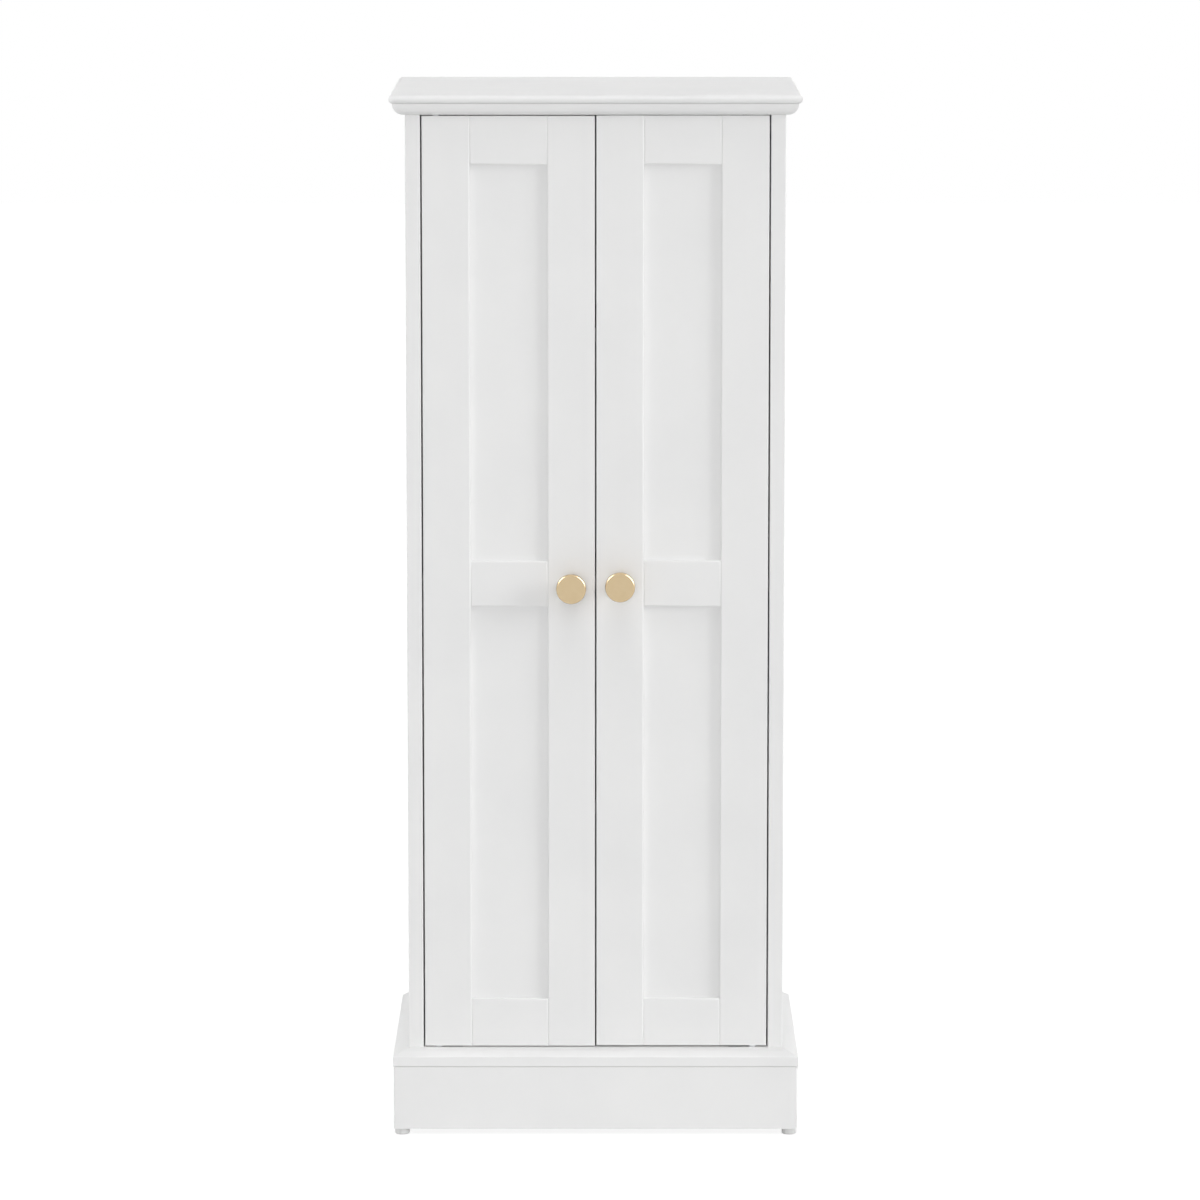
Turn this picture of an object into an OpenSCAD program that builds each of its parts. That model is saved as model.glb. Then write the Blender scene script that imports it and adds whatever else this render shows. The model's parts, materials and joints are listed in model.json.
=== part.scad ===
// Tall two-door bathroom cabinet: moulded crown board, inset framed doors
// on hidden pivot hinges, one fixed and two loose shelves, plinth on glides.
// Millimetres, +Z up, the doors face -Y, and the origin is on the floor
// under the middle of the whole outline, knobs included.

/* [Overall] */
// Width across the crown board
cabinet_w = 410; // [360:1:520]
// Depth of the crown board, front to back
cabinet_d = 305; // [260:1:420]
// Height of the cabinet standing on its glides
cabinet_h = 1053; // [850:1:1300]
// Thickness of the side panels, shelves and plinth boards
board_t = 15; // [14:0.5:18]
// Radius that eases the sharp edges of the boards
ease_r = 1; // [0.5:0.1:2]

/* [Crown board] */
// Thickness of the crown board
crown_t = 21; // [17:0.5:26]
// How far the crown stands out past the body, front and sides
crown_over = 15.7; // [14:0.1:24]
// Height of the round nose along the crown's edge
crown_nose = 9.5; // [6:0.5:12]
// Step from the nose in to the round moulding under it
crown_quirk = 3.5; // [2:0.1:5]

/* [Base and plinth] */
// Thickness of the base board under the body
base_t = 17.5; // [16:0.5:24]
// How far the base board stands out past the body, front and sides
base_over = 15.7; // [12:0.1:22]
// How far the sloped edge of the base board falls towards its nose
base_fall = 6.5; // [3:0.1:9]
// Radius along the top and bottom of the base board's nose
base_nose_r = 1.5; // [0.5:0.1:2.5]
// Height of the plinth boards
plinth_h = 64; // [45:1:110]
// Step from the base board's nose back to the plinth
plinth_step = 0.5; // [0.3:0.1:4]
// Radius of the plinth's upright front corners
plinth_r = 2; // [1:0.5:5]
// Width of the square blocks in the plinth's corners
block_w = 28; // [22:1:40]

/* [Glides] */
// Diameter of the nail-on glides
glide_d = 15; // [12:0.5:18]
// Height of the glides
glide_h = 6.5; // [4:0.5:12]
// Step from the plinth's outer faces in to the edge of a glide
glide_set = 0.8; // [0.3:0.1:2]

/* [Doors] */
// Thickness of the door frames
door_t = 15; // [14:0.5:18]
// Gap beside each door at its side panel
side_gap = 1.5; // [1.4:0.1:2.5]
// Gap between the two doors
centre_gap = 1.5; // [1:0.1:4]
// Middle value of the gaps above the two doors
top_gap = 0.8; // [0.7:0.1:3]
// Middle value of the gaps below the two doors
bottom_gap = 1.2; // [1:0.1:3]
// How much lower the left door hangs than the right one
door_stagger = 0.4; // [0:0.1:0.8]
// Width of the door stiles
stile_w = 47.5; // [42:0.5:60]
// Width of the top and bottom rails
rail_w = 48.5; // [40:0.5:70]
// Width of the middle rail
mid_rail_w = 46; // [40:0.5:70]
// Rise of the middle rail above the middle of the door
mid_rail_rise = 2; // [0:0.5:40]
// Bevel along the frame edges at the panels and the joints
frame_bevel = 1.2; // [0.5:0.1:1.8]
// Depth of that bevel
bevel_depth = 0.7; // [0.3:0.1:1.5]
// Thickness of the recessed panels
panel_t = 5; // [3:0.5:6]
// Depth of the panels behind the front of the frame
panel_recess = 5.5; // [4:0.5:6.5]
// Depth of the groove that holds the panels and the rail tongues
groove_d = 8; // [6:0.5:11]

/* [Knobs] */
// Diameter of the knob's face
knob_d = 30; // [22:0.5:40]
// How far the knob stands out from the door
knob_reach = 25; // [20:0.5:32]
// Thickness of the knob's head
knob_head_t = 7; // [4:0.5:10]
// Radius around the rim of the knob's face
knob_rim_r = 2; // [0.5:0.1:3]
// Diameter of the knob's neck
knob_neck_d = 12; // [9:0.5:16]
// Diameter of the knob's foot on the door
knob_foot_d = 17; // [14:0.5:24]
// Drop of the knob below the middle of the middle rail
knob_drop = 1.4; // [0:0.1:12]
// How much higher the right knob sits in its door than the left one
knob_stagger = 1.4; // [0:0.1:3]

/* [Pivot hinges] */
// Distance of the pivot from the door's outer edge
pivot_in = 14; // [12:0.5:18]
// Distance of the pivot behind the door's front face
pivot_back = 5.5; // [5:0.1:5.6]
// Diameter of the pivot pins
pivot_d = 5; // [4:0.1:5.5]
// Thickness of the hinge leaves
leaf_t = 2; // [1.5:0.1:3]
// Width of the hinge leaves
leaf_w = 9; // [8.4:0.1:9.6]
// Wood left between the end of a hinge leaf and the groove in the stile
leaf_wood = 1.5; // [0.5:0.1:4]
// Depth of the pivot pins in the doors
pivot_bite = 9; // [5:0.5:20]

/* [Shelves and back] */
// Thickness of the back panel
back_t = 3; // [2.5:0.5:5]
// Depth of the rebates in the side panels that hold the back panel
back_rebate = 7; // [4:0.5:9]
// Height of the rail inside the top of the back
rear_rail_h = 60; // [40:1:90]
// Distance between the two wall screw holes in that rail
wall_hole_gap = 200; // [120:1:240]
// Diameter of the wall screw holes
wall_hole_d = 5; // [4:0.5:8]
// Distance of the shelves behind the closed doors
shelf_set = 10; // [9:0.5:40]
// Gap beside each loose shelf
shelf_gap = 1; // [0.5:0.1:2]
// Diameter of the shelf pins in the side panels
pin_d = 5; // [4:0.5:7]
// Depth of the shelf pin holes
pin_bite = 9; // [6:0.5:11]
// How far the shelf pins stand out from the side panels
pin_out = 9; // [6:0.5:14]
// Height step of the shelf pin holes
pin_pitch = 32; // [24:1:40]
// Shelf pin holes in each upright row
pin_rows = 5; // [3:2:7]
// Distance of the pin holes in from the shelf's front and back edges
pin_inset = 37; // [30:1:60]

/* [Fasteners and catches] */
// Diameter of the cam discs
cam_d = 15; // [12:0.5:16]
// Depth of the cam discs
cam_t = 11; // [9:0.5:12]
// Distance from a panel's end to the middle of its cams
cam_reach = 34; // [24:1:40]
// Distance of the front cams behind the closed doors
cam_front = 40; // [30:1:60]
// Distance of the rear cams from the back of the cabinet
cam_back = 45; // [36:1:70]
// Diameter of the cam bolts
bolt_d = 6; // [5:0.5:7]
// Depth of the cam bolts in the board they pull on
bolt_bite = 10; // [8:0.5:12]
// Diameter of the wooden dowels
dowel_d = 8; // [6:0.5:9]
// Length of the wooden dowels
dowel_l = 30; // [24:1:34]
// Distance of the front dowels behind the closed doors
dowel_front = 75; // [66:1:100]
// Distance of the rear dowels from the back of the cabinet
dowel_back = 80; // [76:1:110]
// Diameter of the wood screws
screw_d = 3; // [2.5:0.1:3.5]
// Width of the magnetic catches
catch_w = 32; // [24:1:40]
// Depth of the magnetic catches, front to back
catch_d = 14; // [10:0.5:20]
// Height of the magnetic catches
catch_h = 16; // [12:0.5:24]
// Thickness of the strike plates on the doors
strike_t = 1; // [0.8:0.1:2]

/* [Hidden] */
$fn = 48;

// Clearance of a turning pin in its hole, on the radius
run_gap = 0.05;
// Clearance of a fastener in its hole, on the radius
fit_gap = 0.1;
// Clearance of a panel or tongue in its groove
groove_gap = 0.15;
// Space left at the bottom of a groove or blind hole
blind_gap = 1;
// Gap between a magnet and its strike plate
magnet_gap = 0.2;
// Length that a cutting shape runs past the face it cuts
past = 1;

paint = [0.93, 0.93, 0.92];
raw_board = [0.80, 0.72, 0.58];
gold = [0.80, 0.70, 0.52];
steel = [0.70, 0.70, 0.72];
zinc = [0.78, 0.76, 0.70];
white_plastic = [0.90, 0.90, 0.90];
beech = [0.82, 0.68, 0.48];

left = -1;
right = 1;
sides = [left, right];

// Body and opening
body_w = cabinet_w - 2 * crown_over;
inner_w = body_w - 2 * board_t;
total_d = cabinet_d + knob_reach - crown_over;
y_rear = total_d / 2;
y_front = y_rear - cabinet_d + crown_over;
body_d = y_rear - y_front;

// Levels
z_base = glide_h + plinth_h;
z_floor = z_base + base_t;
z_top = cabinet_h - crown_t;
side_h = z_top - z_floor;

// Doors
door_w = (inner_w - 2 * side_gap - centre_gap) / 2;
door_h = side_h - top_gap - bottom_gap;
panel_w = door_w - 2 * stile_w;
mid_rail_z = (door_h - mid_rail_w) / 2 + mid_rail_rise;
upper_panel_z = mid_rail_z + mid_rail_w;
upper_panel_h = door_h - rail_w - upper_panel_z;
lower_panel_h = mid_rail_z - rail_w;
groove_t = panel_t + 2 * groove_gap;
groove_y = panel_recess - groove_gap;
tongue_l = groove_d - blind_gap;
door_ease = frame_bevel / 2;

// Shelves
back_y = y_rear - back_t;
shelf_y = y_front + door_t + shelf_set;
fixed_shelf_z = z_floor + (side_h - board_t) / 2;
loose_w = inner_w - 2 * shelf_gap;
loose_d = back_y - shelf_y - shelf_gap;
pin_head_d = pin_d + 1.5;
lower_pin_z = (z_floor + fixed_shelf_z) / 2;
upper_pin_z = (fixed_shelf_z + board_t + z_top) / 2;
pin_ys = [shelf_y + pin_inset, back_y - pin_inset];

// Plinth
base_w = body_w + 2 * base_over;
plinth_w = base_w - 2 * plinth_step;
plinth_y = y_front - base_over + plinth_step;
glide_x = plinth_w / 2 - glide_set - glide_d / 2;
glide_ys = [plinth_y + glide_set + glide_d / 2, y_rear - glide_set - glide_d / 2];

// Fasteners
screw_head_d = 2 * screw_d;
cam_ys = [y_front + door_t + cam_front, y_rear - cam_back];
dowel_ys = [y_front + door_t + dowel_front, y_rear - dowel_back];
cam_depth = cam_t + blind_gap / 2;
cam_slot_l = cam_d * 0.55;
cam_slot_w = 1.4;
cam_slot_t = 1.5;

// Catches
catch_x = centre_gap / 2 + stile_w / 2;
catch_y = y_front + door_t + strike_t + magnet_gap;
magnet_out = 1;
magnet_h = 5;
magnet_rim = 2;
catch_ear_w = 8;
catch_ear_h = 5;
magnet_w = catch_w - 2 * catch_ear_w - 2 * magnet_rim;
strike_z = door_h + top_gap - catch_h + magnet_rim + magnet_h / 2;
strike_h = 12;
strike_w = 26;

// Helpers

// Height at which a door's lower edge hangs
function door_z(side) = z_floor + bottom_gap + side * door_stagger / 2;

// Gap under (-1) or over (+1) a door at its pivot
function pivot_gap(side, end) = (end > 0 ? top_gap : bottom_gap) - end * side * door_stagger / 2;

// A part drawn for the left half, placed on the left or mirrored to the right
module on_half(side) {
    if (side == right) mirror([1, 0, 0]) children();
    else children();
}

// A part drawn from a door's outer lower front corner, placed on that door
module on_door(side) {
    on_half(side)
        translate([-inner_w / 2 + side_gap, y_front, door_z(side)])
            children();
}

// Turns a drawing of (distance back, height) into a prism along +X
module across(length) {
    rotate([90, 0, 90]) linear_extrude(length) children();
}

// Turns a drawing of (distance right, height) into a prism along +Y
module along(length) {
    translate([0, length, 0]) rotate([90, 0, 0]) linear_extrude(length) children();
}

// A board lying flat whose edge profile runs round its front and both sides.
// The children draw the profile from its nose inward, front_l deep.
module moulded_board(width, depth, thickness) {
    middle = width / 2;
    intersection() {
        translate([-middle, 0, 0]) across(width) {
            children();
            translate([middle, 0]) square([depth - middle, thickness]);
        }
        along(depth) {
            translate([-middle, 0]) children();
            translate([middle, 0]) mirror([1, 0]) children();
        }
    }
}

// A countersunk wood screw, its flat head at the origin and its point at +Z
module screw(length, d = screw_d, head_d = screw_head_d) {
    head_t = (head_d - d) / 2;
    cylinder(h = head_t, r1 = head_d / 2, r2 = d / 2, $fn = 24);
    cylinder(h = length, r = d / 2, $fn = 24);
}

// The hole for that screw
module screw_hole(length, d = screw_d, head_d = screw_head_d) {
    grow = 2 * fit_gap;
    translate([0, 0, -past]) cylinder(h = past, r = head_d / 2 + fit_gap, $fn = 24);
    screw(length + blind_gap / 2, d + grow, head_d + grow);
}

// Crown board

module crown_profile() {
    nose_r = crown_nose / 2;
    round_r = crown_t - crown_nose;
    flat_from = crown_quirk + round_r;
    translate([nose_r, round_r + nose_r]) circle(nose_r);
    translate([nose_r, round_r]) square([cabinet_w / 2 - nose_r, crown_nose]);
    translate([flat_from, 0]) square([cabinet_w / 2 - flat_from, round_r + nose_r]);
    intersection() {
        translate([flat_from, round_r]) circle(round_r);
        translate([crown_quirk, 0]) square([round_r, round_r]);
    }
}

module crown_board() {
    color(paint) difference() {
        translate([0, y_rear - cabinet_d, z_top])
            moulded_board(cabinet_w, cabinet_d, crown_t) crown_profile();
        for (side = sides) {
            on_half(side) leaf_seat(z_top, 1);
            for (y = cam_ys) bolt_hole(side, y, z_top);
            for (y = dowel_ys) dowel_hole(side, y, z_top);
            on_half(side) catch_screw_holes();
        }
    }
}

// Base board

module base_profile() {
    r = base_nose_r;
    nose_h = base_t - base_fall;
    translate([r, r]) circle(r, $fn = 24);
    translate([r, nose_h - r]) circle(r, $fn = 24);
    translate([0, r]) square([base_over, nose_h - 2 * r]);
    polygon([
        [r, 0],
        [base_w / 2, 0],
        [base_w / 2, base_t],
        [base_over, base_t],
        [r / 2, nose_h - r * (1 - sqrt(3) / 2)],
        [r, nose_h - r]
    ]);
}

module base_board() {
    color(paint) difference() {
        translate([0, y_front - base_over, z_base])
            moulded_board(base_w, body_d + base_over, base_t) base_profile();
        for (side = sides) {
            on_half(side) leaf_seat(z_floor, -1);
            for (y = cam_ys) bolt_hole(side, y, z_floor);
            for (y = dowel_ys) dowel_hole(side, y, z_floor);
        }
        block_screws() screw_hole(plinth_screw_l);
    }
}

// Side panels, drawn for the left half

module side_section() {
    difference() {
        union() {
            translate([0, ease_r]) square([board_t, body_d - ease_r]);
            translate([ease_r, 0]) square([board_t - 2 * ease_r, body_d]);
            for (x = [ease_r, board_t - ease_r])
                translate([x, ease_r]) circle(ease_r, $fn = 24);
        }
        translate([board_t - back_rebate, body_d - back_t])
            square([back_rebate + past, back_t + past]);
    }
}

module side_panel() {
    inner_x = -inner_w / 2;
    difference() {
        translate([-body_w / 2, y_front, z_floor])
            linear_extrude(side_h) side_section();
        for (y = pin_ys, middle = [lower_pin_z, upper_pin_z], row = [0 : pin_rows - 1])
            translate([inner_x, y, middle + (row - (pin_rows - 1) / 2) * pin_pitch])
                rotate([0, -90, 0]) translate([0, 0, -past])
                    cylinder(h = pin_bite + past, r = pin_d / 2 + fit_gap, $fn = 24);
        for (y = cam_ys) {
            for (z = [z_floor + cam_reach, z_top - cam_reach])
                translate([inner_x, y, z]) rotate([0, -90, 0]) cam_hole();
            bolt_hole(left, y, z_floor);
            bolt_hole(left, y, z_top);
            shelf_bolt(left, y, fit_gap);
        }
        for (y = dowel_ys) {
            dowel_hole(left, y, z_floor);
            dowel_hole(left, y, z_top);
            shelf_dowel(left, y, fit_gap);
        }
        back_screw_places(left)
            screw_hole(back_screw_l, back_screw_d, back_screw_head_d);
        rear_rail_dowels(left, fit_gap);
    }
}

module left_side_panel() {
    color(paint) side_panel();
}

module right_side_panel() {
    color(paint) on_half(right) side_panel();
}

// Cam discs pull the bolts tight; each is drilled for the end of its bolt

module cam_hole() {
    translate([0, 0, -past]) cylinder(h = cam_depth + past, r = cam_d / 2 + fit_gap);
}

// A cam with its face at the origin, sunk along +Z, its bolt coming from -X
module cam() {
    bolt_z = board_t / 2;
    difference() {
        cylinder(h = cam_t, r = cam_d / 2);
        translate([-cam_d, 0, bolt_z]) rotate([0, 90, 0])
            cylinder(h = cam_d + fit_gap, r = bolt_d / 2 + fit_gap, $fn = 24);
        for (turn = [0, 90]) rotate([0, 0, turn])
            cube([cam_slot_l, cam_slot_w, 2 * cam_slot_t], center = true);
    }
}

// The upright bolts that join the side panels to the boards at z_level
module upright_bolt(side, y, z_level, gap) {
    up = z_level > z_floor ? 1 : -1;
    x = side * (inner_w + board_t) / 2;
    reach = cam_reach;
    low = up > 0 ? z_level - reach : z_level - bolt_bite - gap;
    translate([x, y, low])
        cylinder(h = reach + bolt_bite + gap, r = bolt_d / 2 + gap, $fn = 24);
}

module bolt_hole(side, y, z_level) {
    upright_bolt(side, y, z_level, fit_gap);
}

// The level bolts that join the fixed shelf to a side panel
module shelf_bolt(side, y, gap) {
    x_end = inner_w / 2 - cam_reach;
    on_half(side) translate([-x_end, y, fixed_shelf_z + board_t / 2]) rotate([0, -90, 0])
        cylinder(h = cam_reach + bolt_bite + gap, r = bolt_d / 2 + gap, $fn = 24);
}

module cam_discs() {
    color(zinc) for (side = sides, y = cam_ys) on_half(side) {
        translate([-inner_w / 2, y, z_floor + cam_reach]) rotate([0, -90, 0]) cam();
        translate([-inner_w / 2, y, z_top - cam_reach]) rotate([0, -90, 0])
            rotate([0, 0, 180]) cam();
        translate([-inner_w / 2 + cam_reach, y, fixed_shelf_z]) cam();
    }
}

module cam_bolts() {
    color(steel) for (side = sides, y = cam_ys) {
        upright_bolt(side, y, z_floor, 0);
        upright_bolt(side, y, z_top, 0);
        shelf_bolt(side, y, 0);
    }
}

// Dowels that line the boards up

module dowel_hole(side, y, z_level) {
    upright_dowel(side, y, z_level, fit_gap);
}

// Each dowel goes a third of its length into the board and the rest into the panel
module upright_dowel(side, y, z_level, gap) {
    in_board = dowel_l / 3;
    low = z_level > z_floor ? z_level - (dowel_l - in_board) : z_level - in_board;
    translate([side * (inner_w + board_t) / 2, y, low - gap])
        cylinder(h = dowel_l + 2 * gap, r = dowel_d / 2 + gap, $fn = 24);
}

module shelf_dowel(side, y, gap) {
    in_panel = dowel_l / 3;
    on_half(side) translate([-inner_w / 2 - in_panel - gap, y, fixed_shelf_z + board_t / 2])
        rotate([0, 90, 0])
            cylinder(h = dowel_l + 2 * gap, r = dowel_d / 2 + gap, $fn = 24);
}

module rear_rail_dowels(side, gap) {
    in_panel = dowel_l / 3;
    for (z = [z_top - rear_rail_h / 4, z_top - rear_rail_h * 3 / 4])
        on_half(side) translate([-inner_w / 2 - in_panel - gap, back_y - board_t / 2, z])
            rotate([0, 90, 0])
                cylinder(h = dowel_l + 2 * gap, r = dowel_d / 2 + gap, $fn = 24);
}

module dowels() {
    color(beech) for (side = sides) {
        for (y = dowel_ys) {
            upright_dowel(side, y, z_floor, 0);
            upright_dowel(side, y, z_top, 0);
            shelf_dowel(side, y, 0);
        }
        rear_rail_dowels(side, 0);
    }
}

// Back panel, rear rail and shelves

back_screw_l = 12;
back_screw_d = 2.4;
back_screw_head_d = 4.4;
back_screw_end = 30;
back_screw_rows = 6;

// Places for the screws that hold the back panel in its rebates
module back_screw_places(side) {
    low = z_floor + back_screw_end;
    step = (side_h - 2 * back_screw_end) / (back_screw_rows - 1);
    for (row = [0 : back_screw_rows - 1])
        on_half(side)
            translate([-inner_w / 2 - back_rebate / 2, y_rear, low + row * step])
                rotate([90, 0, 0]) children();
}

module wall_holes(y, depth) {
    for (x = [-wall_hole_gap / 2, wall_hole_gap / 2])
        translate([x, y, z_top - rear_rail_h / 2]) rotate([-90, 0, 0])
            cylinder(h = depth, r = wall_hole_d / 2);
}

module back_panel() {
    edge = back_rebate - fit_gap;
    color(paint) difference() {
        translate([-inner_w / 2 - edge, back_y, z_floor])
            cube([inner_w + 2 * edge, back_t, side_h]);
        for (side = sides) back_screw_places(side)
            screw_hole(back_screw_l, back_screw_d, back_screw_head_d);
        wall_holes(back_y - past, back_t + 2 * past);
    }
}

module back_screws() {
    color(steel) for (side = sides) back_screw_places(side)
        screw(back_screw_l, back_screw_d, back_screw_head_d);
}

module rear_rail() {
    color(paint) difference() {
        translate([-inner_w / 2, back_y - board_t, z_top - rear_rail_h])
            cube([inner_w, board_t, rear_rail_h]);
        wall_holes(back_y - board_t - past, board_t + 2 * past);
        for (side = sides) rear_rail_dowels(side, fit_gap);
    }
}

// A shelf board with an eased front edge, from its front lower left corner
module shelf_board(width, depth) {
    across(width) {
        translate([ease_r, 0]) square([depth - ease_r, board_t]);
        translate([0, ease_r]) square([depth, board_t - 2 * ease_r]);
        for (z = [ease_r, board_t - ease_r]) translate([ease_r, z]) circle(ease_r, $fn = 24);
    }
}

module fixed_shelf() {
    color(paint) difference() {
        translate([-inner_w / 2, shelf_y, fixed_shelf_z])
            shelf_board(inner_w, back_y - shelf_y);
        for (side = sides, y = cam_ys) {
            on_half(side) translate([-inner_w / 2 + cam_reach, y, fixed_shelf_z]) cam_hole();
            shelf_bolt(side, y, fit_gap);
        }
        for (side = sides, y = dowel_ys) shelf_dowel(side, y, fit_gap);
    }
}

module loose_shelf(pin_z) {
    translate([-loose_w / 2, shelf_y, pin_z + pin_head_d / 2]) shelf_board(loose_w, loose_d);
}

module upper_shelf() {
    color(paint) loose_shelf(upper_pin_z);
}

module lower_shelf() {
    color(paint) loose_shelf(lower_pin_z);
}

// A shelf pin: a peg in the panel and a thicker head under the shelf
module shelf_pins(pin_z) {
    peg = pin_bite - blind_gap / 2;
    color(steel) for (side = sides, y = pin_ys) on_half(side)
        translate([-inner_w / 2, y, pin_z]) rotate([0, 90, 0]) {
            translate([0, 0, -peg]) cylinder(h = peg + past, r = pin_d / 2, $fn = 24);
            cylinder(h = pin_out, r = pin_head_d / 2, $fn = 24);
        }
}

module upper_shelf_pins() {
    shelf_pins(upper_pin_z);
}

module lower_shelf_pins() {
    shelf_pins(lower_pin_z);
}

// Plinth: a full-width front board, two side boards and a rail at the back

block_short = 20;
block_h = plinth_h - block_short;
plinth_screw_bite = 12;
plinth_screw_l = block_h + plinth_screw_bite;

module plinth_front() {
    r = plinth_r;
    color(paint) difference() {
        translate([-plinth_w / 2, plinth_y, glide_h]) linear_extrude(plinth_h) {
            translate([0, r]) square([plinth_w, board_t - r]);
            translate([r, 0]) square([plinth_w - 2 * r, board_t]);
            for (x = [r, plinth_w - r]) translate([x, r]) circle(r, $fn = 32);
        }
        glide_places() nail_hole();
    }
}

module plinth_side() {
    y = plinth_y + board_t;
    difference() {
        translate([-plinth_w / 2, y, glide_h]) cube([board_t, y_rear - y, plinth_h]);
        glide_places() nail_hole();
    }
}

module plinth_left() {
    color(paint) plinth_side();
}

module plinth_right() {
    color(paint) on_half(right) plinth_side();
}

module plinth_back() {
    w = plinth_w - 2 * board_t;
    color(paint) translate([-w / 2, y_rear - board_t, glide_h]) cube([w, board_t, plinth_h]);
}

// Corners inside the plinth, each child drawn from the corner towards the middle
module plinth_corners() {
    x = plinth_w / 2 - board_t;
    for (side = sides) on_half(side) {
        translate([-x, plinth_y + board_t, 0]) children();
        translate([-x, y_rear - board_t, 0]) mirror([0, 1, 0]) children();
    }
}

module block_screws() {
    plinth_corners() translate([block_w / 2, block_w / 2, z_base - block_h]) children();
}

module plinth_blocks() {
    cut = block_w * 0.6;
    color(raw_board) difference() {
        plinth_corners() translate([0, 0, z_base - block_h]) linear_extrude(block_h)
            polygon([[0, 0], [block_w, 0], [block_w, cut], [cut, block_w], [0, block_w]]);
        block_screws() screw_hole(plinth_screw_l);
    }
}

module plinth_screws() {
    color(steel) block_screws() screw(plinth_screw_l);
}

// Glides: round discs under the corners, each held by a nail

nail_d = 2.4;
nail_l = 20;
nail_head_d = 6;
nail_head_t = 1;
glide_cup_t = 2;

module glide_places() {
    for (side = sides, y = glide_ys) on_half(side) translate([-glide_x, y, 0]) children();
}

module nail_hole() {
    translate([0, 0, glide_h - past])
        cylinder(h = nail_l - glide_h + 2 * past, r = nail_d / 2 + fit_gap, $fn = 24);
}

module glide() {
    r = glide_d / 2;
    foot_r = r - glide_h / 4;
    edge_r = glide_h / 4;
    difference() {
        rotate_extrude() {
            square([foot_r, glide_h]);
            translate([0, edge_r]) square([r, glide_h - edge_r]);
            translate([foot_r, edge_r]) circle(edge_r, $fn = 24);
        }
        translate([0, 0, -past])
            cylinder(h = glide_cup_t + nail_head_t + past, r = nail_head_d / 2 + fit_gap);
        cylinder(h = glide_h + past, r = nail_d / 2 + fit_gap, $fn = 24);
    }
}

module glides() {
    color(white_plastic) glide_places() glide();
}

module glide_nails() {
    color(steel) glide_places() {
        translate([0, 0, glide_cup_t]) cylinder(h = nail_head_t, r = nail_head_d / 2, $fn = 24);
        translate([0, 0, glide_cup_t]) cylinder(h = nail_l - glide_cup_t, r = nail_d / 2, $fn = 24);
    }
}

// Pivot hinges, drawn for the left half. A flat leaf is let into each end of
// the door, another into the board above or below, and a pin joins the two.

pivot_x = -inner_w / 2 + side_gap + pivot_in;
pivot_y = y_front + pivot_back;
leaf_l = stile_w - groove_d - leaf_wood - pivot_in;
leaf_screw_l = 14;
leaf_screw_xs = [leaf_l * 0.45, leaf_l * 0.82];
washer_d = leaf_w;
pin_relief = 0.5;

// The outline of a leaf, with its pivot at the origin
module leaf_outline(gap = 0) {
    circle(leaf_w / 2 + gap);
    translate([0, -leaf_w / 2 - gap]) square([leaf_l + gap, leaf_w + 2 * gap]);
}

// The pocket for a leaf in a board whose face is at z_level; up is +1 above it
module leaf_seat(z_level, up) {
    low = up > 0 ? z_level - past : z_level - leaf_t;
    translate([pivot_x, pivot_y, low]) {
        linear_extrude(leaf_t + past) leaf_outline(fit_gap);
    }
    translate([pivot_x, pivot_y, z_level]) leaf_screw_places(up) screw_hole(leaf_screw_l);
}

// Places for the leaf screws, each pointing into the board, heads in the face
module leaf_screw_places(up) {
    for (x = leaf_screw_xs) translate([x, 0, 0]) {
        if (up > 0) children();
        else mirror([0, 0, 1]) children();
    }
}

module cabinet_leaf(side, z_level, up) {
    pin_l = pivot_gap(side, up) + pivot_bite;
    translate([pivot_x, pivot_y, z_level]) {
        difference() {
            translate([0, 0, up > 0 ? 0 : -leaf_t]) linear_extrude(leaf_t) leaf_outline();
            leaf_screw_places(up) screw_hole(leaf_screw_l);
        }
        translate([0, 0, up > 0 ? -pin_l : -leaf_t / 2])
            cylinder(h = pin_l + leaf_t / 2, r = pivot_d / 2 - run_gap);
    }
}

module cabinet_leaves() {
    color(steel) for (side = sides) on_half(side) {
        cabinet_leaf(side, z_floor, -1);
        cabinet_leaf(side, z_top, 1);
    }
}

module cabinet_leaf_screws() {
    color(steel) for (side = sides) on_half(side) {
        translate([pivot_x, pivot_y, z_floor]) leaf_screw_places(-1) screw(leaf_screw_l);
        translate([pivot_x, pivot_y, z_top]) leaf_screw_places(1) screw(leaf_screw_l);
    }
}

// Washers fill the gaps at the pivots; the lower ones carry the doors
module pivot_washers() {
    color(steel) for (side = sides) on_half(side) {
        translate([pivot_x, pivot_y, z_floor]) washer(pivot_gap(side, -1));
        translate([pivot_x, pivot_y, z_top - pivot_gap(side, 1)]) washer(pivot_gap(side, 1));
    }
}

module washer(thickness) {
    difference() {
        cylinder(h = thickness, r = washer_d / 2);
        translate([0, 0, -past])
            cylinder(h = thickness + 2 * past, r = pivot_d / 2 + run_gap);
    }
}

// Magnetic catches under the crown board, one behind each inner stile

catch_screw_l = 12;

module catch_screw_places() {
    reach = (catch_w - catch_ear_w) / 2;
    for (x = [-reach, reach])
        translate([-catch_x + x, catch_y + magnet_out + catch_d * 0.6, z_top - catch_ear_h])
            children();
}

module catch_screw_holes() {
    catch_screw_places() screw_hole(catch_screw_l);
}

module catch_housing() {
    x = -catch_x - catch_w / 2;
    y = catch_y + magnet_out;
    difference() {
        union() {
            translate([x, y, z_top - catch_ear_h]) cube([catch_w, catch_d, catch_ear_h]);
            translate([x + catch_ear_w, y, z_top - catch_h])
                cube([catch_w - 2 * catch_ear_w, catch_d, catch_h]);
        }
        catch_screw_holes();
        magnet(fit_gap);
    }
}

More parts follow.
